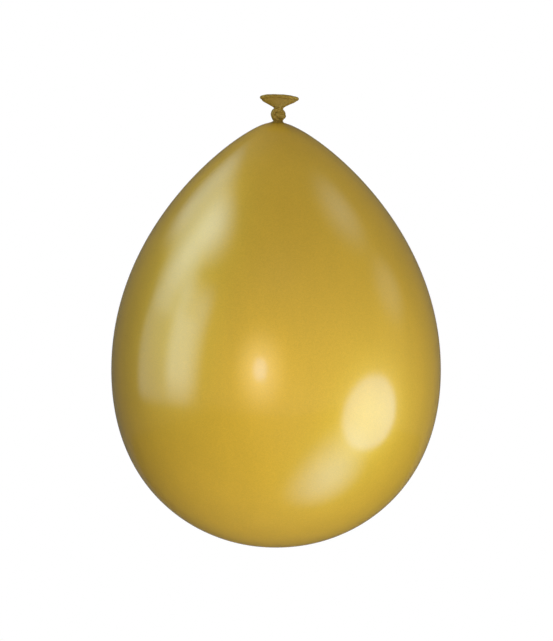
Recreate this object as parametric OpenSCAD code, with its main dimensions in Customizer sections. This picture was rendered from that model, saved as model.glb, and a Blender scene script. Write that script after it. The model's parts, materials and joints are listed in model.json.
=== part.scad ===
// Round latex balloon, filled and tied off with an overhand knot.
// The origin is the centre of the neck groove between the knot and the filled
// envelope. +Z points from the envelope towards the knot, +X to the right.

/* [Envelope] */
// Diameter at the widest ring when filled
balloon_diameter = 300; // [240:5:400]
// Height from the neck groove down to the outside of the crown
balloon_height = 388.6; // [330:1:520]
// Height of the widest ring above the crown
belly_height = 161.3; // [130:1:200]
// Radius of the flat spot at the middle of the crown
crown_flat_radius = 5.2; // [3:0.1:8]
// How far the crown stays full before it turns up into the side
crown_reach = 60; // [40:1:80]
// How far the side stays upright below the widest ring
lower_side_reach = 116; // [80:1:125]
// How far the side stays upright above the widest ring
upper_side_reach = 134; // [90:1:150]
// How far the shoulder stays flat around the throat
throat_reach = 26; // [10:1:40]
// Slope of the shoulder where it meets the throat, in degrees
throat_slope = 11; // [6:1:20]
// Sideways distance from the neck axis to the envelope's own axis
neck_offset = 1.7; // [0:0.1:2]
// Wall of the stand-in shell
wall = 0.4; // [0.3:0.1:1]

/* [Crown] */
// Radius of the thick spot left at the tip of the dipped skin
crown_spot_radius = 14; // [9:1:20]
// Wall of that spot
crown_spot_wall = 1.2; // [0.8:0.1:2]

/* [Neck] */
// Diameter of the round neck that the knot turns on
neck_diameter = 7.2; // [6:0.1:8]
// Running clearance between pieces that move
clearance = 0.3; // [0.2:0.05:0.4]
// Outer radius of the gathered collar
collar_radius = 10; // [9:0.5:13]
// Wall of the gathered collar
collar_wall = 1.4; // [1:0.1:2]
// Slope of the collar's upper face next to the neck, in degrees
collar_slope = 14; // [12:1:18]

/* [Knot] */
// Height of the tail pivot above the neck groove
knot_height = 13; // [12:0.5:16]
// Sideways shift of the tail pivot from the neck axis
knot_lean = 0.7; // [0:0.1:1]
// Radius of the strand pulled through the middle of the knot
core_radius = 5.4; // [5:0.1:6]
// Radius of the strand wrapped around the middle
wrap_radius = 2.6; // [2:0.1:3]
// Radius of the turn that the wrapped strand makes
wrap_turn = 4.3; // [4:0.1:5]
// Tilt of the main turn, in degrees
wrap_tilt = 20; // [10:1:25]
// Slope of the knot's underside, in degrees
knot_under_slope = 18; // [15:1:20]
// Slope of the knot's upper face, in degrees
knot_top_slope = 25; // [22:1:30]

/* [Tail] */
// Height of the funnel's lower edge above the tail pivot
funnel_gap = 1.1; // [1:0.1:2]
// Height of the funnel from its lower edge to the middle of the bead
funnel_height = 6.8; // [5:0.1:12]
// Half of the funnel's width at its lower edge
funnel_foot_half_width = 7.8; // [6:0.1:9]
// Half of the funnel's depth at its lower edge
funnel_foot_half_depth = 5.4; // [5.2:0.1:6]
// Half of the lip's width, to the middle of the bead
lip_half_width = 16.1; // [12:0.1:20]
// Half of the lip's depth, to the middle of the bead
lip_half_depth = 7; // [6.2:0.1:12]
// Sideways shift of the lip from the tail pivot
lip_shift = 1; // [0:0.1:2]
// Tilt of the lip, lower on the right, in degrees
lip_tilt = 2.5; // [0:0.1:6]
// Wall of the funnel
funnel_wall = 0.7; // [0.5:0.1:1]
// Radius of the rolled bead
bead_radius = 1.7; // [1.2:0.1:2]

/* [Hidden] */
$fn = 64;
gold = [0.80, 0.66, 0.26];
dark_gold = [0.60, 0.48, 0.16];
outline_steps = 22;
lip_steps = 40;
funnel_steps = 7;
bead_sides = 12;

balloon_radius = balloon_diameter / 2;
crown_z = -balloon_height;
belly_z = crown_z + belly_height;
// Where the outline of the shoulder ends, inside the collar's hole
throat_radius = collar_radius - neck_offset - 0.3;
throat_z = -2.6;
ball_radius = neck_diameter / 2;
dish_radius = ball_radius + clearance;
dish_depth_angle = 50;
tail_pivot = [knot_lean, 0, knot_height];

// Control points of the outline, as [radius, height], above and below the belly
shoulder = [
    [balloon_radius, belly_z],
    [balloon_radius, belly_z + upper_side_reach],
    [throat_radius + throat_reach * cos(throat_slope), throat_z - throat_reach * sin(throat_slope)],
    [throat_radius, throat_z]
];
bowl = [
    [balloon_radius, belly_z],
    [balloon_radius, belly_z - lower_side_reach],
    [crown_flat_radius + crown_reach, crown_z],
    [crown_flat_radius, crown_z]
];

// Point of a cubic curve at t, and the direction it runs in there
function curve_point(p, t) =
    pow(1 - t, 3) * p[0] + 3 * pow(1 - t, 2) * t * p[1] + 3 * (1 - t) * t * t * p[2] + pow(t, 3) * p[3];
function curve_slope(p, t) =
    pow(1 - t, 2) * (p[1] - p[0]) + 2 * (1 - t) * t * (p[2] - p[1]) + t * t * (p[3] - p[2]);

// The same point moved square to the curve, towards the inside of the envelope
function inset_point(p, t, depth, side) =
    let (slope = curve_slope(p, t))
        curve_point(p, t) + depth * side * [-slope[1], slope[0]] / norm(slope);

// Outline from the throat round to the crown, at a depth below the outer skin
function skin_line(depth) = [
    for (i = [0 : outline_steps]) inset_point(shoulder, 1 - i / outline_steps, depth, 1),
    for (i = [1 : outline_steps]) inset_point(bowl, i / outline_steps, depth, -1)
];

// The points of a line, last one first
function backwards(line) = [for (i = [len(line) - 1 : -1 : 0]) line[i]];

// Triangles of a closed band of rings, where the last ring joins the first
function band_faces(rings, sides) = [
    for (i = [0 : rings - 1])
        for (j = [0 : sides - 1])
            let (a = i * sides, b = (i + 1) % rings * sides, k = (j + 1) % sides)
                each [[a + j, a + k, b + k], [a + j, b + k, b + j]]
];

// The shell of the whole envelope, crown included, with the given wall
module envelope_skin(thickness) {
    outer = skin_line(0);
    inner = skin_line(thickness);
    translate([-neck_offset, 0, 0])
        rotate_extrude()
            polygon(concat(outer, [[0, crown_z], [0, crown_z + thickness]], backwards(inner)));
}

// A round column over the crown, as wide as the thick spot
module crown_column() {
    translate([-neck_offset, 0, crown_z - 1])
        cylinder(r = crown_spot_radius, h = 20);
}

// Filled envelope, open at the crown spot and around the collar
module envelope() {
    color(gold)
        difference() {
            envelope_skin(wall);
            crown_column();
            translate([0, 0, throat_z - 20])
                cylinder(r = collar_radius + clearance, h = 40);
        }
}

// Thick spot at the crown
module crown_tip() {
    color(dark_gold)
        intersection() {
            envelope_skin(crown_spot_wall);
            crown_column();
        }
}

// Ring of gathered skin around the neck, dished for the neck to turn in
module neck_collar() {
    rim_z = throat_z - 0.6;
    color(dark_gold)
        difference() {
            rotate_extrude()
                polygon([
                    [dish_radius * cos(collar_slope), -dish_radius * sin(collar_slope)],
                    [collar_radius, rim_z],
                    [collar_radius, rim_z - collar_wall],
                    [dish_radius * cos(dish_depth_angle) + collar_wall / 2, rim_z - collar_wall],
                    [dish_radius * cos(dish_depth_angle), -dish_radius * sin(dish_depth_angle)]
                ]);
            sphere(r = dish_radius);
        }
}

// Round middle of the neck, between the collar and the knot
module neck_stem() {
    color(dark_gold)
        sphere(r = ball_radius);
}

// Round middle of the choked skin, between the knot and the funnel
module tail_stem() {
    color(dark_gold)
        translate(tail_pivot)
            sphere(r = ball_radius);
}

// One end of the knot's core: a stub around a pivot's own axis, with a sloped face
module core_stub(slope, length) {
    rotate_extrude()
        polygon([
            [0, 0],
            [core_radius, core_radius * tan(slope)],
            [core_radius, length],
            [0, length]
        ]);
}

// A ring of round strand
module strand_ring(turn, thick) {
    rotate_extrude()
        translate([turn, 0, 0])
            circle(r = thick);
}

// Overhand knot: the strand pulled through, and the turns that wrap it
module overhand_knot() {
    middle = knot_height / 2;
    color(gold)
        difference() {
            union() {
                core_stub(knot_under_slope, middle + 1);
                translate(tail_pivot)
                    mirror([0, 0, 1])
                        core_stub(knot_top_slope, middle);
                translate([knot_lean / 2, 0, middle - 1])
                    rotate([0, wrap_tilt, 0])
                        strand_ring(wrap_turn, wrap_radius);
                translate([knot_lean / 2, 0, middle])
                    rotate([wrap_tilt, -wrap_tilt, 0])
                        strand_ring(wrap_turn - 0.4, wrap_radius - 0.2);
            }
            sphere(r = dish_radius);
            translate(tail_pivot)
                sphere(r = dish_radius);
        }
}

// Half width and half depth of the funnel's middle skin at u, 0 at its foot and 1 at the lip
function funnel_half_width(u) =
    funnel_foot_half_width + (lip_half_width - funnel_foot_half_width) * sin(90 * u);
function funnel_half_depth(u) =
    funnel_foot_half_depth + (lip_half_depth - funnel_foot_half_depth) * u;

// A point of the tail, counted from the foot's centre, leaned over by the lip's shift and tilt
function tail_point(u, angle, out) =
    let (
        x = (funnel_half_width(u) + out) * cos(angle),
        y = (funnel_half_depth(u) + out) * sin(angle)
    )
        tail_pivot + [x + lip_shift * u, y, funnel_gap + funnel_height * u - x * u * tan(lip_tilt)];

// Flared funnel of loose skin above the knot
module tail_funnel() {
    half = funnel_wall / 2;
    profile = [
        for (i = [0 : funnel_steps]) [i / funnel_steps, half],
        for (i = [funnel_steps : -1 : 0]) [i / funnel_steps, -half]
    ];
    points = [
        for (i = [0 : lip_steps - 1])
            for (p = profile) tail_point(p[0], 360 * i / lip_steps, p[1])
    ];
    color(gold)
        polyhedron(points = points, faces = band_faces(lip_steps, len(profile)));
}

// Rolled bead around the lip
module rolled_bead() {
    points = [
        for (i = [0 : lip_steps - 1])
            for (j = [0 : bead_sides - 1])
                let (side = 360 * j / bead_sides)
                    tail_point(1, 360 * i / lip_steps, bead_radius * cos(side)) +
                        [0, 0, bead_radius * sin(side)]
    ];
    color(gold)
        polyhedron(points = points, faces = band_faces(lip_steps, bead_sides));
}

envelope();
crown_tip();
neck_collar();
neck_stem();
overhand_knot();
tail_stem();
tail_funnel();
rolled_bead();
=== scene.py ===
"""Filled gold latex balloon, tied off at the top, hanging in a plain pale studio."""
import json
import math

import bpy
import numpy as np
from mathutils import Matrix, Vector


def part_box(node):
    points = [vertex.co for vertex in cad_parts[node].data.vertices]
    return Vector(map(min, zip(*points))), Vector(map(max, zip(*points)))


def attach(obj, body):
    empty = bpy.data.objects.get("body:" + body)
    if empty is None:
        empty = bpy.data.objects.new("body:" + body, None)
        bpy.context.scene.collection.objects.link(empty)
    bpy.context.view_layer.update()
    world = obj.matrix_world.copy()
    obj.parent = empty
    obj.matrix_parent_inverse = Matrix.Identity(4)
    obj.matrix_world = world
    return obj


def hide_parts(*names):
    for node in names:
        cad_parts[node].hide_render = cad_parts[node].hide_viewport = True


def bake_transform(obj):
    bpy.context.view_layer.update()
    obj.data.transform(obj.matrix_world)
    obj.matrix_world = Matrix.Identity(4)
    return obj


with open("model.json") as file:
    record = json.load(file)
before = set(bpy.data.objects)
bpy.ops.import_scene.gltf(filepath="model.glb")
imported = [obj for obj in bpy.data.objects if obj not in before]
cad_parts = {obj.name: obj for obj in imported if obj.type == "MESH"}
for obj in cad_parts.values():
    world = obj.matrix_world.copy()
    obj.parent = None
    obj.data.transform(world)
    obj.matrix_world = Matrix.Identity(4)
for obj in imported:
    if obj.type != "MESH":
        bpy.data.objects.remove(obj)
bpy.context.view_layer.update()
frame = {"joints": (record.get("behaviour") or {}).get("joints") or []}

MM = 0.001
TAU = 2 * math.pi


# ---------------------------------------------------------------- places, from the frame

def joint_place(name):
    """Where a joint turns, in metres."""
    return Vector(next(j["pos_m"] for j in frame["joints"] if j["name"] == name))


choke = joint_place("tail_side")
skin_low, skin_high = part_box("envelope")
spot_low, spot_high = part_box("crown_tip")
lip_low, lip_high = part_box("rolled_bead")

belly_radius = (skin_high.x - skin_low.x) / 2
body_axis = (skin_high.x + skin_low.x) / 2
crown_z = spot_low.z
spot_radius = (spot_high.x - spot_low.x) / 2

# The outline's own shape: the same curve reaches as the solid design
BELLY_HEIGHT = 161.3 * MM
LOWER_SIDE_REACH = 116 * MM
UPPER_SIDE_REACH = 134 * MM
CROWN_FLAT = 5.2 * MM
CROWN_REACH = 60 * MM
THROAT_REACH = 26 * MM
THROAT_SLOPE = math.radians(11)
THROAT_RADIUS = 8 * MM
THROAT_Z = -2.6 * MM
SKIN_WALL = 0.4 * MM

# Neck, choke and tail
NECK_RADIUS = 3.9 * MM
CHOKE_RADIUS = 3.9 * MM
# How far the pleats run out over the shoulder, the width of their fade, and their depth
PLEAT_REACH = 24 * MM
PLEAT_FADE = 18 * MM
PLEAT_DEPTH = 0.12 * MM
PLEATS = 19
# Points round the filled skin and the gathers, and rings down each half of the skin
SKIN_SIDES = 224
SKIN_RINGS = 96
# The gathers: how wide they spread, how far they start under the throat, and their height
GATHER_SPREAD = 1.2 * MM
GATHER_START = 0.6 * MM
GATHER_HEIGHT = 3.5 * MM
# How far the gathers' upper rim turns in under the knot's strand
GATHER_TUCK = 1.1 * MM
GATHER_RINGS = 26
FUNNEL_WALL = 0.5 * MM
BEAD_RADIUS = 1.7 * MM
LIP_TILT = math.radians(2.5)
# How far the ends of the lip lie below its middle height, and its front and back above it
LIP_SADDLE = 0.45 * MM


# ---------------------------------------------------------------- small tools

# Edges that turn by more than this shade as corners
RIM_ANGLE = math.radians(60)


def smooth(t):
    """Eases from 0 to 1 as t goes from 0 to 1."""
    t = np.clip(t, 0, 1)
    return t * t * (3 - 2 * t)


def bezier(points, t):
    """Points of a cubic curve at each t."""
    p = np.array(points, float)
    t = np.asarray(t, float)[:, None]
    return (1 - t) ** 3 * p[0] + 3 * (1 - t) ** 2 * t * p[1] + 3 * (1 - t) * t ** 2 * p[2] + t ** 3 * p[3]


def make_object(name, points, faces, material):
    """A smooth-shaded mesh object at the origin."""
    mesh = bpy.data.meshes.new(name)
    mesh.from_pydata([tuple(p) for p in points], [], faces)
    mesh.validate()
    mesh.update()
    mesh.polygons.foreach_set("use_smooth", [True] * len(mesh.polygons))
    mesh.set_sharp_from_angle(angle=RIM_ANGLE)
    mesh.materials.append(material)
    obj = bpy.data.objects.new(name, mesh)
    bpy.context.scene.collection.objects.link(obj)
    return obj


def grid_faces(rings, sides, closed=False):
    """Quads between rings of points; closed joins the last ring to the first."""
    last = rings if closed else rings - 1
    faces = []
    for i in range(last):
        a, b = i * sides, (i + 1) % rings * sides
        for j in range(sides):
            k = (j + 1) % sides
            faces.append((a + j, a + k, b + k, b + j))
    return faces


def thick_band(name, outer, inner, sides, material):
    """A shell: rings of an outer skin, then the same rings of its inner skin, closed at both rims."""
    rings = list(outer) + list(inner)[::-1]
    points = np.concatenate(rings)
    return make_object(name, points, grid_faces(len(rings), sides, closed=True), material)


# ---------------------------------------------------------------- outline of the filled skin

def skin_outline(count):
    """Radius and height from the throat round to the middle of the crown."""
    belly_z = crown_z + BELLY_HEIGHT
    shoulder = [
        (belly_radius, belly_z),
        (belly_radius, belly_z + UPPER_SIDE_REACH),
        (THROAT_RADIUS + THROAT_REACH * math.cos(THROAT_SLOPE),
         THROAT_Z - THROAT_REACH * math.sin(THROAT_SLOPE)),
        (THROAT_RADIUS, THROAT_Z),
    ]
    bowl = [
        (belly_radius, belly_z),
        (belly_radius, belly_z - LOWER_SIDE_REACH),
        (CROWN_FLAT + CROWN_REACH, crown_z),
        (CROWN_FLAT, crown_z),
    ]
    down = np.linspace(0, 1, count)
    upper = bezier(shoulder, 1 - down)
    lower = bezier(bowl, down[1:])
    tip = [(CROWN_FLAT * (1 - s), crown_z) for s in (0.35, 0.7, 0.95)]
    return np.concatenate([upper, lower, tip])


def outline_normals(line):
    """Unit directions pointing out of the balloon, as radius and height."""
    step = np.gradient(line, axis=0)
    out = np.stack([-step[:, 1], step[:, 0]], axis=1)
    return out / np.linalg.norm(out, axis=1)[:, None]


def pleat(angle, radius, height):
    """How far the gathered skin stands out at an angle round the neck."""
    near = smooth((PLEAT_REACH - radius) / PLEAT_FADE)
    wave = (
        np.sin(PLEATS * angle)
        + 0.6 * np.sin(11 * angle + 1.3)
        + 0.5 * np.sin(27 * angle + 0.4 + 90 * height)
    )
    return PLEAT_DEPTH * near * wave


# ---------------------------------------------------------------- shader groups

def new_group(name, inputs, outputs):
    """An empty shader node group with named sockets."""
    group = bpy.data.node_groups.new(name, "ShaderNodeTree")
    for label, kind, value in inputs:
        socket = group.interface.new_socket(label, in_out="INPUT", socket_type=kind)
        socket.default_value = value
    for label, kind in outputs:
        group.interface.new_socket(label, in_out="OUTPUT", socket_type=kind)
    start = group.nodes.new("NodeGroupInput")
    end = group.nodes.new("NodeGroupOutput")
    return group, start, end


def add(tree, kind, **settings):
    """A node with its own settings."""
    node = tree.nodes.new(kind)
    for key, value in settings.items():
        setattr(node, key, value)
    return node


def math_node(tree, operation, first, second):
    """A math node; each side is a socket or a number."""
    node = add(tree, "ShaderNodeMath", operation=operation)
    for place, side in enumerate((first, second)):
        if isinstance(side, (int, float)):
            node.inputs[place].default_value = side
        else:
            tree.links.new(side, node.inputs[place])
    return node.outputs[0]


def ramp_node(tree, source, low, high, to_low=0.0, to_high=1.0):
    """Maps a range of a value onto another, eased at both ends."""
    node = add(tree, "ShaderNodeMapRange", interpolation_type="SMOOTHSTEP")
    for label, value in (("From Min", low), ("From Max", high), ("To Min", to_low), ("To Max", to_high)):
        node.inputs[label].default_value = value
    tree.links.new(source, node.inputs["Value"])
    return node.outputs["Result"]


def mica_group():
    """Pearl pigment: fine flakes that catch the light a little differently, and soft clouding."""
    group, start, end = new_group(
        "Pearl mica",
        [("Flake size", "NodeSocketFloat", 0.0005), ("Sparkle", "NodeSocketFloat", 0.1),
         ("Clouding", "NodeSocketFloat", 0.1)],
        [("Shade", "NodeSocketFloat"), ("Height", "NodeSocketFloat")],
    )
    place = add(group, "ShaderNodeTexCoord")
    density = math_node(group, "DIVIDE", 1.0, start.outputs["Flake size"])
    flakes = add(group, "ShaderNodeTexVoronoi", feature="F1")
    group.links.new(place.outputs["Object"], flakes.inputs["Vector"])
    group.links.new(density, flakes.inputs["Scale"])
    split = add(group, "ShaderNodeSeparateColor")
    group.links.new(flakes.outputs["Color"], split.inputs["Color"])
    clouds = add(group, "ShaderNodeTexNoise")
    clouds.inputs["Scale"].default_value = 22
    clouds.inputs["Detail"].default_value = 3
    group.links.new(place.outputs["Object"], clouds.inputs["Vector"])
    sparkle = math_node(group, "MULTIPLY", math_node(group, "SUBTRACT", split.outputs[0], 0.5),
                        start.outputs["Sparkle"])
    cloud = math_node(group, "MULTIPLY", math_node(group, "SUBTRACT", clouds.outputs["Fac"], 0.5),
                      start.outputs["Clouding"])
    shade = math_node(group, "ADD", math_node(group, "ADD", sparkle, cloud), 1.0)
    group.links.new(shade, end.inputs["Shade"])
    group.links.new(split.outputs[1], end.inputs["Height"])
    return group


def dip_group():
    """Marks of dipping and stretching: faint runs down the skin, from the neck to the crown."""
    group, start, end = new_group(
        "Dip runs",
        [("Strength", "NodeSocketFloat", 1.0)],
        [("Runs", "NodeSocketFloat")],
    )
    place = add(group, "ShaderNodeTexCoord")
    narrow = add(group, "ShaderNodeMapping")
    narrow.inputs["Scale"].default_value = (1, 1, 0.12)
    group.links.new(place.outputs["Object"], narrow.inputs["Vector"])
    runs = add(group, "ShaderNodeTexNoise")
    runs.inputs["Scale"].default_value = 60
    runs.inputs["Detail"].default_value = 4
    group.links.new(narrow.outputs["Vector"], runs.inputs["Vector"])
    group.links.new(math_node(group, "MULTIPLY", runs.outputs["Fac"], start.outputs["Strength"]),
                    end.inputs["Runs"])
    return group


def crease_group():
    """Fine wrinkles of latex that isn't stretched, and a mask of their low parts for painted shade."""
    group, start, end = new_group(
        "Slack creases",
        [("Size", "NodeSocketFloat", 0.002)],
        [("Height", "NodeSocketFloat"), ("Painted valley shade", "NodeSocketFloat")],
    )
    place = add(group, "ShaderNodeTexCoord")
    density = math_node(group, "DIVIDE", 1.0, start.outputs["Size"])
    lines = add(group, "ShaderNodeTexNoise")
    lines.inputs["Detail"].default_value = 5
    lines.inputs["Distortion"].default_value = 0.6
    group.links.new(place.outputs["Object"], lines.inputs["Vector"])
    group.links.new(density, lines.inputs["Scale"])
    group.links.new(lines.outputs["Fac"], end.inputs["Height"])
    # Painted shade mask: 0 where the wrinkles are low, 1 where they are high
    group.links.new(ramp_node(group, lines.outputs["Fac"], 0.35, 0.6), end.inputs["Painted valley shade"])
    return group


MICA = mica_group()
DIP = dip_group()
CREASE = crease_group()


# ---------------------------------------------------------------- materials

def start_material(name):
    """A material with its own Principled shader."""
    material = bpy.data.materials.new(name)
    material.use_nodes = True
    tree = material.node_tree
    tree.nodes.clear()
    out = add(tree, "ShaderNodeOutputMaterial")
    shader = add(tree, "ShaderNodeBsdfPrincipled")
    tree.links.new(shader.outputs[0], out.inputs["Surface"])
    return material, tree, shader


def mix_colour(tree, factor, first, second):
    """Two colours mixed by a factor socket; each colour is a socket or three numbers."""
    node = add(tree, "ShaderNodeMix", data_type="RGBA", blend_type="MIX")
    tree.links.new(factor, node.inputs["Factor"])
    for label, side in (("A", first), ("B", second)):
        socket = next(s for s in node.inputs if s.name == label and s.type == "RGBA")
        if isinstance(side, tuple):
            socket.default_value = (*side, 1)
        else:
            tree.links.new(side, socket)
    return next(s for s in node.outputs if s.type == "RGBA")


def shaded(tree, colour, shade):
    """A colour made lighter or darker by a shade around 1."""
    node = add(tree, "ShaderNodeVectorMath", operation="SCALE")
    tree.links.new(colour, node.inputs[0])
    tree.links.new(shade, node.inputs["Scale"])
    return node.outputs["Vector"]


def stretched_latex():
    """Thin, stretched pearl gold skin: soft gloss, deeper and duller where it is thicker."""
    material, tree, shader = start_material("stretched_pearl_gold")
    mica = add(tree, "ShaderNodeGroup", node_tree=MICA)
    mica.inputs["Flake size"].default_value = 0.6 * MM
    mica.inputs["Sparkle"].default_value = 0.10
    mica.inputs["Clouding"].default_value = 0.05
    dip = add(tree, "ShaderNodeGroup", node_tree=DIP)
    dip.inputs["Strength"].default_value = 1.0
    place = add(tree, "ShaderNodeTexCoord")
    split = add(tree, "ShaderNodeSeparateXYZ")
    tree.links.new(place.outputs["Object"], split.inputs[0])
    # 1 at the throat, 0 down the shoulder
    throat = ramp_node(tree, split.outputs["Z"], -60 * MM, -4 * MM)
    # 1 inside the thick spot at the crown
    across = add(tree, "ShaderNodeCombineXYZ")
    tree.links.new(math_node(tree, "SUBTRACT", split.outputs["X"], body_axis), across.inputs["X"])
    tree.links.new(split.outputs["Y"], across.inputs["Y"])
    away = add(tree, "ShaderNodeVectorMath", operation="LENGTH")
    tree.links.new(across.outputs[0], away.inputs[0])
    inside = ramp_node(tree, away.outputs["Value"], spot_radius * 1.15, spot_radius * 0.75)
    under = ramp_node(tree, split.outputs["Z"], crown_z + 30 * MM, crown_z + 20 * MM)
    spot = math_node(tree, "MULTIPLY", inside, under)
    thick = math_node(tree, "MAXIMUM", math_node(tree, "MULTIPLY", throat, 0.75),
                      math_node(tree, "MULTIPLY", spot, 0.6))
    # 1 where the skin is gathered at the neck, 0 a few millimetres away
    gathered = ramp_node(tree, split.outputs["Z"], -4.8 * MM, -2.7 * MM)
    colour = mix_colour(tree, thick, (0.85, 0.54, 0.05), (0.74, 0.46, 0.036))
    colour = mix_colour(tree, gathered, colour, (0.42, 0.265, 0.028))
    runs = ramp_node(tree, dip.outputs["Runs"], 0.35, 0.65, 0.988, 1.012)
    shade = math_node(tree, "MULTIPLY", mica.outputs["Shade"], runs)
    tree.links.new(shaded(tree, colour, shade), shader.inputs["Base Color"])
    tree.links.new(ramp_node(tree, thick, 0, 1, 0.45, 0.52), shader.inputs["Roughness"])
    shader.inputs["Metallic"].default_value = 0.3
    shader.inputs["Specular IOR Level"].default_value = 0.0
    tree.links.new(ramp_node(tree, gathered, 0, 1, 1.0, 0.2), shader.inputs["Coat Weight"])
    shader.inputs["Coat Roughness"].default_value = 0.12
    shader.inputs["Coat IOR"].default_value = 1.65
    bump = add(tree, "ShaderNodeBump")
    bump.inputs["Strength"].default_value = 0.12
    bump.inputs["Distance"].default_value = 0.02 * MM
    tree.links.new(mica.outputs["Height"], bump.inputs["Height"])
    tree.links.new(bump.outputs[0], shader.inputs["Normal"])
    return material


def relaxed_latex():
    """Thick skin that isn't stretched: a deeper, matt gold with very fine wrinkles, with painted shade
    darkening its colour in hollows and in the low parts of the wrinkles.
    """
    material, tree, shader = start_material("relaxed_pearl_gold")
    mica = add(tree, "ShaderNodeGroup", node_tree=MICA)
    mica.inputs["Flake size"].default_value = 0.25 * MM
    mica.inputs["Sparkle"].default_value = 0.10
    mica.inputs["Clouding"].default_value = 0.12
    crease = add(tree, "ShaderNodeGroup", node_tree=CREASE)
    crease.inputs["Size"].default_value = 1.1 * MM
    # Painted shade: the darker colour goes where the wrinkles are low
    colour = mix_colour(tree, crease.outputs["Painted valley shade"], (0.36, 0.225, 0.025), (0.42, 0.268, 0.03))
    # Painted shade: ambient occlusion darkens the base colour in hollows and creases, down to 0.62 of it in
    # the deepest
    hollow = add(tree, "ShaderNodeAmbientOcclusion", samples=8, only_local=True)
    hollow.inputs["Distance"].default_value = 2.0 * MM
    painted_hollow_shade = ramp_node(tree, hollow.outputs["AO"], 0.35, 0.95, 0.62, 1.0)
    shade = math_node(tree, "MULTIPLY", mica.outputs["Shade"], painted_hollow_shade)
    tree.links.new(shaded(tree, colour, shade), shader.inputs["Base Color"])
    tree.links.new(ramp_node(tree, crease.outputs["Height"], 0.3, 0.7, 0.58, 0.68),
                   shader.inputs["Roughness"])
    shader.inputs["Metallic"].default_value = 0.3
    shader.inputs["Coat Weight"].default_value = 0.12
    shader.inputs["Coat Roughness"].default_value = 0.4
    bump = add(tree, "ShaderNodeBump")
    bump.inputs["Strength"].default_value = 0.2
    bump.inputs["Distance"].default_value = 0.05 * MM
    tree.links.new(crease.outputs["Height"], bump.inputs["Height"])
    tree.links.new(bump.outputs[0], shader.inputs["Normal"])
    return material


STRETCHED = stretched_latex()
RELAXED = relaxed_latex()


# ---------------------------------------------------------------- filled skin

def ring_points(centre_x, radius, height, angles, out=0.0, rise=0.0):
    """A ring round an upright axis; radius may vary with the angle."""
    reach = radius + out
    return np.stack([
        centre_x + reach * np.cos(angles),
        reach * np.sin(angles),
        np.full_like(angles, height) + rise,
    ], axis=1)


def latex_skin():
    """The whole filled body, as a thin shell from the throat to the crown."""
    sides = SKIN_SIDES
    angles = np.arange(sides) * TAU / sides
    line = skin_outline(SKIN_RINGS)
    normals = outline_normals(line)
    outer, inner = [], []
    for (radius, height), (out_r, out_z) in zip(line, normals):
        swell = pleat(angles, radius, height)
        outer.append(ring_points(body_axis, radius, height, angles, swell * out_r, swell * out_z))
        depth = swell - SKIN_WALL
        inner.append(ring_points(body_axis, max(radius, SKIN_WALL * 1.5), height, angles,
                                 depth * out_r, depth * out_z))
    points = np.concatenate(outer + inner)
    rings = len(outer)
    faces = grid_faces(rings, sides)
    back = [tuple(v + rings * sides for v in f[::-1]) for f in faces]
    rim = [(j, j + rings * sides, (j + 1) % sides + rings * sides, (j + 1) % sides) for j in range(sides)]
    tip = [tuple((rings - 1) * sides + j for j in range(sides))]
    tip_back = [tuple((2 * rings - 1) * sides + j for j in range(sides - 1, -1, -1))]
    obj = make_object("latex_skin", points, faces + back + rim + tip + tip_back, STRETCHED)
    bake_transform(obj)
    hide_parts("envelope", "crown_tip", "neck_collar")


def neck_gather():
    """The pleated skirt where the skin runs up into the neck."""
    sides = SKIN_SIDES
    angles = np.arange(sides) * TAU / sides
    outer, inner = [], []
    for t in np.linspace(0, 1, GATHER_RINGS):
        # a fillet from the shoulder up into the neck
        radius = NECK_RADIUS + (THROAT_RADIUS + GATHER_SPREAD - NECK_RADIUS) * (1 - t) ** 2.1
        height = THROAT_Z - GATHER_START + GATHER_HEIGHT * t ** 0.8
        radius -= GATHER_TUCK * smooth((t - 0.75) / 0.25)
        centre = body_axis + (0.3 * MM - body_axis) * smooth(t * 1.1)
        fold = pleat(angles, radius, height) * (1 + 1.2 * t)
        outer.append(ring_points(centre, radius, height, angles, fold))
        inner.append(ring_points(centre, radius - FUNNEL_WALL, height - 0.1 * MM, angles, fold))
    obj = thick_band("neck_gather", outer, inner, sides, RELAXED)
    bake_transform(obj)
    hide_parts("neck_stem")


# ---------------------------------------------------------------- knot

def strand_path(points, count):
    """A smooth curve through points that each carry a place and a radius, in millimetres."""
    p = np.array(points, float)
    p = np.concatenate([[2 * p[0] - p[1]], p, [2 * p[-1] - p[-2]]])
    spans = len(p) - 3
    out = []
    for s in np.linspace(0, spans - 1e-6, count):
        i, t = int(s), s - int(s)
        a, b, c, d = p[i:i + 4]
        out.append(0.5 * (2 * b + (c - a) * t + (2 * a - 5 * b + 4 * c - d) * t ** 2
                          + (3 * b - a - 3 * c + d) * t ** 3))
    return np.array(out)


def strand_mesh(points, count=90, sides=40, folds=9, phase=0.0):
    """Points and faces of a strand of gathered skin, with folds that run along it."""
    path = strand_path(points, count) * MM
    places, radii = path[:, :3], path[:, 3]
    along = np.gradient(places, axis=0)
    along /= np.linalg.norm(along, axis=1)[:, None]
    side = np.cross(along[0], (0.3, 1, 0.2))
    rings = []
    for k in range(count):
        side = side - along[k] * (side @ along[k])
        side /= np.linalg.norm(side)
        other = np.cross(along[k], side)
        turn = np.arange(sides) * TAU / sides
        ripple = 1 + 0.035 * np.sin(folds * turn + phase + 2.2 * k / count)
        ripple += 0.02 * np.sin((folds - 4) * turn + 2 * phase)
        reach = radii[k] * ripple
        rings.append(places[k] + np.outer(reach * np.cos(turn), side) + np.outer(reach * np.sin(turn), other))
    faces = grid_faces(count, sides)
    faces.append(tuple(range(sides - 1, -1, -1)))
    faces.append(tuple((count - 1) * sides + j for j in range(sides)))
    return np.concatenate(rings), faces


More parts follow.
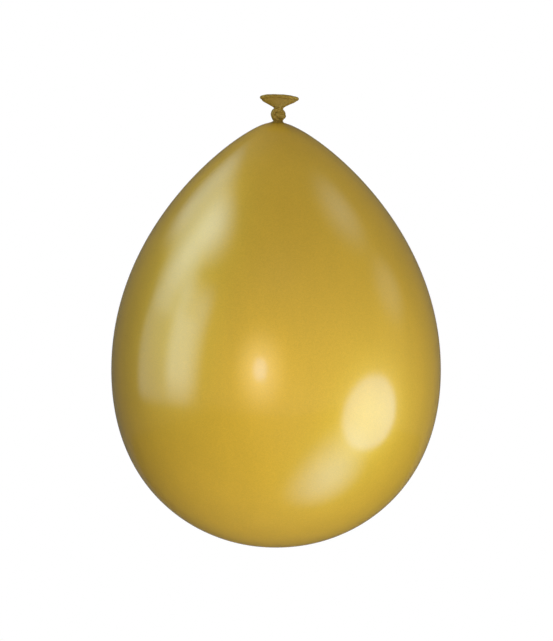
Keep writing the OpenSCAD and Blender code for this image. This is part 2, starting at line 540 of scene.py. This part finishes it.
# Places and radii of the knot's strands, in millimetres. The first comes up out of the neck on
# the left, goes over the top and down the right side, and ends inside the knot
OVER_TURN = [
    (0.3, 0.0, -1.6, 3.5), (-0.6, 0.1, 0.6, 3.4), (-2.7, -0.6, 2.9, 2.9), (-3.8, -1.6, 5.6, 2.7),
    (-3.0, -2.1, 8.0, 2.6), (-1.0, -2.4, 9.4, 2.3), (1.6, -1.9, 9.0, 2.4), (3.5, -0.9, 7.8, 2.5),
    (4.4, 0.4, 5.8, 2.6), (3.4, 1.4, 3.6, 2.1), (1.4, 1.0, 2.8, 1.5),
]
# The turn that crosses the front as a round bulge and dives under the one above
FRONT_BULGE = [
    (0.4, 4.0, 5.4, 1.6), (2.6, 3.8, 4.9, 2.2), (4.2, 2.0, 4.4, 2.8), (4.2, -0.6, 4.1, 3.0),
    (2.6, -2.3, 4.4, 3.4), (0.7, -2.6, 5.0, 3.2), (-1.2, 0.2, 5.6, 2.2), (0.2, 1.6, 5.4, 1.6),
]
# The turn round the back, from the left side to the right
BACK_TURN = [
    (-2.4, -1.2, 5.4, 1.6), (-3.5, 0.6, 4.9, 2.5), (-2.8, 2.8, 5.0, 2.6), (0.2, 4.0, 5.6, 2.6),
    (3.2, 3.0, 6.4, 2.6), (4.2, 1.0, 6.6, 2.3), (3.2, -0.8, 7.2, 1.6),
]
# The end that is pulled up through the middle, towards the tail
PULLED_THROUGH = [
    (0.4, 0.6, 2.4, 3.7), (0.5, 0.2, 5.5, 3.8), (0.8, -0.2, 8.4, 3.9), (0.8, 0.1, 11.6, 3.6),
]
# A fold of the neck that runs up under the bulge on the right
NECK_FOLD = [
    (2.2, 0.0, -1.8, 1.7), (2.5, -0.4, 0.2, 1.9), (3.5, -0.8, 2.4, 2.3), (4.2, -0.4, 4.2, 2.4),
]
# How fine the mesh is where the strands are pressed into one skin
KNOT_VOXEL = 0.17 * MM


def knot_mesh():
    """The knot: its strands pressed together into one skin."""
    points, faces = [], []
    for number, route in enumerate((OVER_TURN, FRONT_BULGE, BACK_TURN, PULLED_THROUGH, NECK_FOLD)):
        strand_points, strand_faces = strand_mesh(route, phase=1.7 * number)
        shift = sum(len(p) for p in points)
        points.append(strand_points)
        faces += [tuple(v + shift for v in f) for f in strand_faces]
    raw = make_object("knot_strands", np.concatenate(points), faces, RELAXED)
    remesh = raw.modifiers.new("press", "REMESH")
    remesh.mode = "VOXEL"
    remesh.voxel_size = KNOT_VOXEL
    relax = raw.modifiers.new("relax", "SMOOTH")
    relax.factor = 0.5
    relax.iterations = 3
    bpy.context.view_layer.update()
    graph = bpy.context.evaluated_depsgraph_get()
    mesh = bpy.data.meshes.new_from_object(raw.evaluated_get(graph))
    bpy.data.objects.remove(raw)
    mesh.name = "overhand_turns"
    mesh.polygons.foreach_set("use_smooth", [True] * len(mesh.polygons))
    mesh.materials.clear()
    mesh.materials.append(RELAXED)
    obj = bpy.data.objects.new("overhand_turns", mesh)
    bpy.context.scene.collection.objects.link(obj)
    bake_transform(obj)
    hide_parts("overhand_knot")


# ---------------------------------------------------------------- tail

# Where the tail is narrowest, a little below its pivot
FLARE_Z = choke.z - 2.1 * MM
FLARE_WIDTH = 2.2
# How softly the flare turns upright into the lip
BLUNT = 1.1 * MM
# How gently the sleeve's lower rim turns in under the knot's skin
TUCK = 1.3 * MM
# How far the loose lip sits above and to the left of the solid one's middle
LIP_RISE = 0.1 * MM
LIP_SHIFT = 0.6 * MM
LIP_Z = (lip_low.z + lip_high.z) / 2 + LIP_RISE
LIP_X = (lip_low.x + lip_high.x) / 2 - LIP_SHIFT
LIP_HALF_WIDTH = (lip_high.x - lip_low.x) / 2 - BEAD_RADIUS
LIP_HALF_DEPTH = (lip_high.y - lip_low.y) / 2 - BEAD_RADIUS


def tail_half_width(z):
    """A flare like an hourglass's, that turns upright into the lip."""
    flare = math.hypot(CHOKE_RADIUS, (z - FLARE_Z) * FLARE_WIDTH)
    if z < FLARE_Z:
        return CHOKE_RADIUS - (FLARE_Z - z) ** 2 / TUCK
    return -BLUNT * math.log(math.exp(-flare / BLUNT) + math.exp(-LIP_HALF_WIDTH / BLUNT))


def tail_half_depth(z):
    """The same for the depth, which opens less."""
    if z < FLARE_Z:
        return tail_half_width(z)
    climb = (z - FLARE_Z) / (LIP_Z - FLARE_Z)
    opening = math.sqrt(LIP_HALF_DEPTH ** 2 - CHOKE_RADIUS ** 2)
    return math.hypot(CHOKE_RADIUS, climb * opening)


def tail_ring(z, angles, out=0.0):
    """A ring of the tail at a height, leaned over and folded as the loose skin is."""
    climb = max(0.0, (z - FLARE_Z) / (LIP_Z - FLARE_Z))
    slack = 1 - smooth((z - FLARE_Z) / (8 * MM))
    fold = 0.22 * MM * slack * (np.sin(13 * angles) + 0.6 * np.sin(9 * angles + 1.1)
                                + 0.4 * np.sin(21 * angles + 600 * z))
    fold = fold + 0.25 * MM * climb * np.sin(3 * angles + 0.8)
    x = (tail_half_width(z) + out + fold) * np.cos(angles)
    y = (tail_half_depth(z) + out + fold) * np.sin(angles)
    centre = choke.x + (LIP_X - choke.x) * climb
    rise = -x * climb * math.tan(LIP_TILT) - LIP_SADDLE * climb * np.cos(2 * angles)
    return np.stack([centre + x, y, z + rise], axis=1)


def tail_piece(name, z_from, z_to, steps, sides=160):
    """A stretch of the tail's loose skin, as a thin shell."""
    angles = np.arange(sides) * TAU / sides
    heights = np.linspace(z_from, z_to, steps)
    outer = [tail_ring(z, angles) for z in heights]
    inner = [tail_ring(z, angles, -FUNNEL_WALL) for z in heights]
    obj = thick_band(name, outer, inner, sides, RELAXED)
    return obj


def tail_skin():
    """The tail's two stretches: the choked sleeve and the flared funnel."""
    meet = choke.z - 0.4 * MM
    sleeve = tail_piece("choked_sleeve", FLARE_Z - 1.1 * MM, meet, 16)
    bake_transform(sleeve)
    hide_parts("tail_stem")
    funnel = tail_piece("tail_funnel_skin", meet, LIP_Z - 0.4 * MM, 48)
    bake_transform(funnel)
    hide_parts("tail_funnel")


def rolled_lip():
    """The rolled bead round the mouth, with the faint lines of its roll."""
    around, sides = 220, 28
    turn = np.arange(sides) * TAU / sides
    rings = []
    for i in range(around):
        angle = np.array([i * TAU / around])
        middle = tail_ring(LIP_Z, angle)[0]
        ahead = tail_ring(LIP_Z, angle + 0.01)[0] - tail_ring(LIP_Z, angle - 0.01)[0]
        ahead /= np.linalg.norm(ahead)
        outward = np.cross(ahead, (0, 0, 1))
        outward /= np.linalg.norm(outward)
        upward = np.cross(outward, ahead)
        swell = 1 + 0.05 * math.sin(5 * angle[0] + 0.7) + 0.03 * math.sin(13 * angle[0])
        roll = 1 - 0.07 * np.exp(-((turn - 1.9) / 0.16) ** 2) - 0.05 * np.exp(-((turn - 5.6) / 0.2) ** 2)
        reach = BEAD_RADIUS * swell * roll
        sideways = np.outer(reach * np.cos(turn), outward)
        rings.append(middle + sideways + np.outer(reach * np.sin(turn), upward))
    obj = make_object("rolled_lip", np.concatenate(rings), grid_faces(around, sides, closed=True), RELAXED)
    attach(obj, "tail")
    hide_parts("rolled_bead")


latex_skin()
neck_gather()
knot_mesh()
tail_skin()
rolled_lip()


# ---------------------------------------------------------------- studio

# How far the floor lies under the crown, below every lamp
FLOOR_DROP = 2.2


def camera_only_white(name, off_camera):
    """Plain white to the camera, and a dimmer pale tone to everything the light bounces from."""
    material = bpy.data.materials.new(name)
    material.use_nodes = True
    tree = material.node_tree
    tree.nodes.clear()
    out = add(tree, "ShaderNodeOutputMaterial")
    path = add(tree, "ShaderNodeLightPath")
    white = add(tree, "ShaderNodeEmission")
    pale = add(tree, "ShaderNodeBsdfDiffuse")
    pale.inputs["Color"].default_value = (*off_camera, 1)
    mix = add(tree, "ShaderNodeMixShader")
    tree.links.new(path.outputs["Is Camera Ray"], mix.inputs[0])
    tree.links.new(pale.outputs[0], mix.inputs[1])
    tree.links.new(white.outputs[0], mix.inputs[2])
    tree.links.new(mix.outputs[0], out.inputs["Surface"])
    return material


def pale_floor():
    """A plain pale floor under the hanging balloon."""
    half = 6.0
    z = crown_z - FLOOR_DROP
    corners = [(-half, -half, z), (half, -half, z), (half, half, z), (-half, half, z)]
    pale = camera_only_white("floor", (0.5, 0.45, 0.36))
    floor = make_object("pale_floor", corners, [(0, 1, 2, 3)], pale)


def studio_surround():
    """White behind the balloon; a dim pale room to light it and for it to reflect."""
    world = bpy.data.worlds.new("studio")
    bpy.context.scene.world = world
    world.use_nodes = True
    tree = world.node_tree
    tree.nodes.clear()
    out = add(tree, "ShaderNodeOutputWorld")
    path = add(tree, "ShaderNodeLightPath")
    white = add(tree, "ShaderNodeBackground")
    white.inputs["Color"].default_value = (1, 1, 1, 1)
    room = add(tree, "ShaderNodeBackground")
    room.inputs["Color"].default_value = (1, 0.97, 0.92, 1)
    place = add(tree, "ShaderNodeTexCoord")
    facing = add(tree, "ShaderNodeVectorMath", operation="DOT_PRODUCT")
    facing.inputs[1].default_value = (0.3, -0.85, -0.43)
    tree.links.new(place.outputs["Generated"], facing.inputs[0])
    lit = ramp_node(tree, facing.outputs["Value"], -0.3, 1.0, 0.13, 0.30)
    tree.links.new(lit, room.inputs["Strength"])
    mix = add(tree, "ShaderNodeMixShader")
    tree.links.new(path.outputs["Is Camera Ray"], mix.inputs[0])
    tree.links.new(room.outputs[0], mix.inputs[1])
    tree.links.new(white.outputs[0], mix.inputs[2])
    tree.links.new(mix.outputs[0], out.inputs["Surface"])


balloon_middle = Vector((body_axis, 0, crown_z / 2))

# Lamps stand at different distances, so that none hides another
FILL_DISTANCE = 2.0
HALO_DISTANCE = 1.4
SHEET_DISTANCE = 1.35
GLOSS_DISTANCE = 1.3

# Lamp colours; the bluer ones keep their reflections pale on a gold skin
COOL = (0.5, 0.74, 1.0)
COLD = (0.26, 0.54, 1.0)
WARM = (1.0, 0.86, 0.55)


def feathered(light, feather, round_face):
    """Lets a lamp's glow fade out towards the rim of its face; feather is the share that fades."""
    light.use_nodes = True
    tree = light.node_tree
    glow = next(n for n in tree.nodes if n.type == "EMISSION")
    face = add(tree, "ShaderNodeNewGeometry")
    centred = add(tree, "ShaderNodeVectorMath", operation="MULTIPLY_ADD")
    centred.inputs[1].default_value = (2, 2, 0)
    centred.inputs[2].default_value = (-1, -1, 0)
    tree.links.new(face.outputs["Parametric"], centred.inputs[0])
    if round_face:
        away = add(tree, "ShaderNodeVectorMath", operation="LENGTH")
        tree.links.new(centred.outputs[0], away.inputs[0])
        fade = ramp_node(tree, away.outputs["Value"], 1.0, 1.0 - feather)
    else:
        split = add(tree, "ShaderNodeSeparateXYZ")
        tree.links.new(centred.outputs[0], split.inputs[0])
        across, up = (
            ramp_node(tree, math_node(tree, "ABSOLUTE", split.outputs[side], 0), 1.0, 1.0 - feather)
            for side in ("X", "Y")
        )
        fade = math_node(tree, "MULTIPLY", across, up)
    tree.links.new(fade, glow.inputs["Strength"])


def softbox(name, azimuth, elevation, width, height, power, feather, distance,
            shape="ELLIPSE", roll=0.0, colour=(1, 1, 1)):
    """A soft lamp round the balloon. Azimuth 0 is in front, positive to the right, in degrees."""
    a, e = math.radians(azimuth), math.radians(elevation)
    away = Vector((math.sin(a) * math.cos(e), -math.cos(a) * math.cos(e), math.sin(e)))
    light = bpy.data.lights.new(name, "AREA")
    light.shape = shape
    light.size, light.size_y = width, height
    light.energy = power
    light.color = colour
    feathered(light, feather, shape == "ELLIPSE")
    obj = bpy.data.objects.new(name, light)
    bpy.context.scene.collection.objects.link(obj)
    obj.location = balloon_middle + away * distance
    turn = away.to_track_quat("Z", "Y").to_euler()
    turn.rotate_axis("Z", math.radians(roll))
    obj.rotation_euler = turn
    obj.visible_camera = False
    return obj


def fill(name, azimuth, elevation, width, height, power, feather=1.0):
    """A lamp that only lights the skin and leaves no reflection on it."""
    lamp = softbox(name, azimuth, elevation, width, height, power, feather, FILL_DISTANCE)
    lamp.visible_glossy = False


def gloss(name, azimuth, elevation, width, height, power, feather=1.0, distance=GLOSS_DISTANCE, **looks):
    """A lamp that only shows as a reflection."""
    lamp = softbox(name, azimuth, elevation, width, height, power, feather, distance, **looks)
    lamp.visible_diffuse = False


def studio_lights():
    """Even fill for the colour of the skin, and lamps that give it its reflections."""
    fill("front_fill", 12, -28, 3.0, 2.6, 62)
    fill("high_fill", 0, 42, 1.6, 1.2, 9)
    fill("left_top_fill", -150, 66, 1.4, 1.2, 38)
    fill("right_fill", 88, 6, 1.8, 1.8, 22, feather=0.8)
    fill("low_fill", 40, -60, 1.6, 2.0, 28, feather=0.9)
    fill("lamp_fill", -8, -6, 1.0, 1.2, 20)
    fill("back_fill", 175, -18, 2.4, 2.4, 46)

    # the tall strip on the left, and the band above it
    gloss("left_strip", -80, 4, 1.3, 1.0, 4, feather=0.35, roll=-8, shape="RECTANGLE", colour=COOL)
    gloss("left_inner", -62, 10, 0.8, 1.4, 7, feather=0.6, roll=-8, shape="RECTANGLE", colour=COOL)
    gloss("left_join", -84, 30, 1.1, 0.8, 6, colour=COOL)
    gloss("upper_band", -100, 50, 1.6, 1.0, 8, feather=0.7, shape="RECTANGLE", colour=COOL)
    gloss("upper_core", -74, 50, 1.1, 0.9, 6, colour=COOL)
    # the faint band on the right shoulder
    gloss("right_shoulder", 90, 54, 0.9, 0.9, 2, colour=COOL)
    gloss("right_band", 92, 24, 0.8, 0.7, 0.8, feather=0.8, colour=COOL)
    # the big lamp low on the right, its halo, and the sheet of light under it
    gloss("right_halo", 67, -19, 1.9, 1.5, 7, colour=WARM, distance=HALO_DISTANCE)
    gloss("right_lamp", 67, -20, 1.1, 0.88, 8, feather=0.25, colour=COLD)
    gloss("low_sheet", 54, -52, 1.3, 1.8, 17, colour=COLD, distance=SHEET_DISTANCE)
    # the small lamp in front, and its halo
    gloss("front_halo", -10, -1, 1.0, 1.1, 6.5, colour=WARM, distance=HALO_DISTANCE)
    gloss("front_lamp", -10, -1, 0.24, 0.28, 0.5, feather=0.4, colour=COLD)


def studio_camera():
    """A long lens level with the balloon's middle."""
    distance = 1.5
    view_width = 0.5057
    view_height = -182.8 * MM
    camera = bpy.data.cameras.new("camera")
    camera.sensor_fit = "HORIZONTAL"
    camera.sensor_width = 36
    camera.lens = camera.sensor_width * distance / view_width
    obj = bpy.data.objects.new("camera", camera)
    bpy.context.scene.collection.objects.link(obj)
    obj.location = (body_axis + 0.4 * MM, -distance, view_height)
    obj.rotation_euler = (math.pi / 2, 0, 0)
    bpy.context.scene.camera = obj


pale_floor()
studio_surround()
studio_lights()
studio_camera()
bpy.context.scene.view_settings.view_transform = "Standard"
